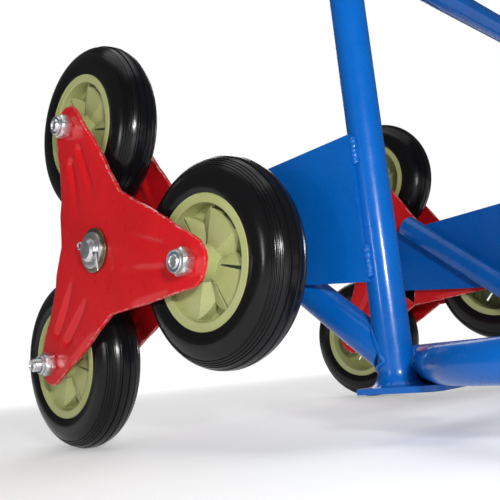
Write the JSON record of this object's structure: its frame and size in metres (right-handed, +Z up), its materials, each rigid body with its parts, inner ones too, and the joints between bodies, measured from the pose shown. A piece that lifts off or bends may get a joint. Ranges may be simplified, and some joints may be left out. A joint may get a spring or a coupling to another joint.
{
  "type": "stair-climbing hand truck",
  "caption": "Stair-climbing hand truck: blue tubular frame with a tube toe and two red three-armed wheel clusters on one axle.",
  "frame": {"origin": "centre of the footprint, at the lowest point of the tyres in the stored pose", "axes": "+Z up, -Y towards the load, +X to the left of the person pushing"},
  "size_m": [0.5504, 0.6758, 1.1953],
  "materials": {
    "blue_paint": "gloss",
    "red_paint": "gloss",
    "hub_plastic": "satin",
    "tyre_rubber": "gloss",
    "grip_rubber": "matte",
    "zinc_steel": "satin",
    "yellow_zinc": "satin",
    "nylon": "gloss"
  },
  "bodies": {
    "frame": {"upright_left": "blue_paint", "handle_grip_left": "grip_rubber", "foot_plate_left": "blue_paint", "gusset_left": "blue_paint", "brace_left": "blue_paint", "axle_spacer_left": "zinc_steel", "large_washer_left": "yellow_zinc", "small_washer_left": "zinc_steel", "split_pin_left": "zinc_steel", "upright_right": "blue_paint", "handle_grip_right": "grip_rubber", "foot_plate_right": "blue_paint", "gusset_right": "blue_paint", "brace_right": "blue_paint", "axle_spacer_right": "zinc_steel", "large_washer_right": "yellow_zinc", "small_washer_right": "zinc_steel", "split_pin_right": "zinc_steel", "cross_bar_lower": "blue_paint", "cross_bar_middle": "blue_paint", "cross_bar_upper": "blue_paint", "foot_cross_tube": "blue_paint", "toe_loop": "blue_paint", "axle_tube": "blue_paint", "axle": "zinc_steel"},
    "star_left": {"star_plate_outer_left": "red_paint", "star_plate_inner_left": "red_paint", "pivot_tube_left": "red_paint", "wheel_bolts_left": "zinc_steel", "lock_nuts_left": "zinc_steel", "wheel_sleeves_left": "zinc_steel", "nut_collars_left": "nylon"},
    "wheel_left_top": {"tyre_left_top": "tyre_rubber", "hub_left_top": "hub_plastic"},
    "wheel_left_rear": {"tyre_left_rear": "tyre_rubber", "hub_left_rear": "hub_plastic"},
    "wheel_left_front": {"tyre_left_front": "tyre_rubber", "hub_left_front": "hub_plastic"},
    "star_right": {"star_plate_outer_right": "red_paint", "star_plate_inner_right": "red_paint", "pivot_tube_right": "red_paint", "wheel_bolts_right": "zinc_steel", "lock_nuts_right": "zinc_steel", "wheel_sleeves_right": "zinc_steel", "nut_collars_right": "nylon"},
    "wheel_right_top": {"tyre_right_top": "tyre_rubber", "hub_right_top": "hub_plastic"},
    "wheel_right_rear": {"tyre_right_rear": "tyre_rubber", "hub_right_rear": "hub_plastic"},
    "wheel_right_front": {"tyre_right_front": "tyre_rubber", "hub_right_front": "hub_plastic"}
  },
  "joints": [
    {"name": "star_spin_left", "type": "hinge", "parent": "frame", "child": "star_left", "pos_m": [0.2225, 0.17076, 0.16888], "axis": [1, 0, 0], "continuous": true},
    {"name": "wheel_spin_left_top", "type": "hinge", "parent": "star_left", "child": "wheel_left_top", "pos_m": [0.2225, 0.20413, 0.28882], "axis": [1, 0, 0], "continuous": true},
    {"name": "wheel_spin_left_rear", "type": "hinge", "parent": "star_left", "child": "wheel_left_rear", "pos_m": [0.2225, 0.25794, 0.08], "axis": [1, 0, 0], "continuous": true},
    {"name": "wheel_spin_left_front", "type": "hinge", "parent": "star_left", "child": "wheel_left_front", "pos_m": [0.2225, 0.0502, 0.13781], "axis": [1, 0, 0], "continuous": true},
    {"name": "star_spin_right", "type": "hinge", "parent": "frame", "child": "star_right", "pos_m": [-0.2225, 0.17076, 0.16888], "axis": [1, 0, 0], "continuous": true},
    {"name": "wheel_spin_right_top", "type": "hinge", "parent": "star_right", "child": "wheel_right_top", "pos_m": [-0.2225, 0.20413, 0.28882], "axis": [1, 0, 0], "continuous": true},
    {"name": "wheel_spin_right_rear", "type": "hinge", "parent": "star_right", "child": "wheel_right_rear", "pos_m": [-0.2225, 0.25794, 0.08], "axis": [1, 0, 0], "continuous": true},
    {"name": "wheel_spin_right_front", "type": "hinge", "parent": "star_right", "child": "wheel_right_front", "pos_m": [-0.2225, 0.0502, 0.13781], "axis": [1, 0, 0], "continuous": true}
  ]
}
